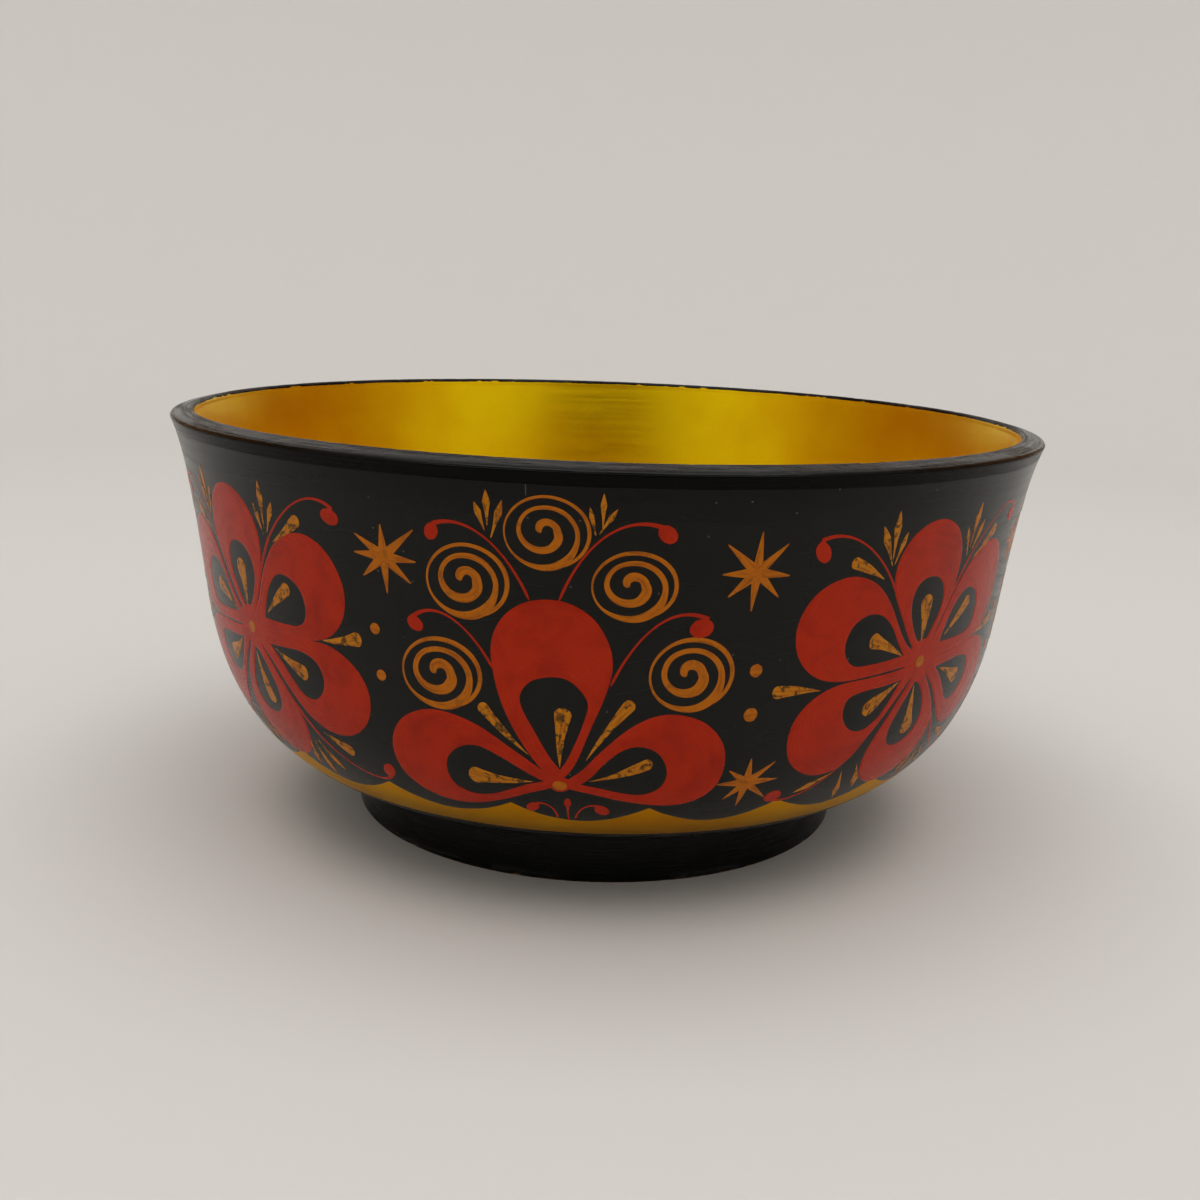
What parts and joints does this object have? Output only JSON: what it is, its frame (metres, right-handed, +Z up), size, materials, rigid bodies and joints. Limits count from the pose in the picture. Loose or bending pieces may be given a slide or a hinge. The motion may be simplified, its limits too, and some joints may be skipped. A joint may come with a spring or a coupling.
{
  "type": "painted wooden bowl",
  "caption": "Round footed wooden bowl, gold-lacquered inside, black outside with painted red flowers and ochre scrolls, for serving or display.",
  "frame": {"origin": "middle of the resting plane under the foot, on the turning axis", "axes": "+Z up along the turning axis; -Y faces the half flower between two full flowers"},
  "size_m": [0.15, 0.15, 0.071],
  "materials": {
    "linden_wood": "matte",
    "gold_lacquer": "satin",
    "black_ground": "satin",
    "black_gloss_lacquer": "gloss",
    "red_paint": "satin",
    "ochre_paint": "satin"
  },
  "bodies": {
    "root": {"turned_wood_bowl": "linden_wood", "gold_inside_coat": "gold_lacquer", "gold_belly_coat": "gold_lacquer", "black_rim_coat": "black_gloss_lacquer", "black_wall_coat": "black_ground", "black_foot_coat": "black_gloss_lacquer", "black_recess_coat": "black_gloss_lacquer"}
  },
  "joints": []
}
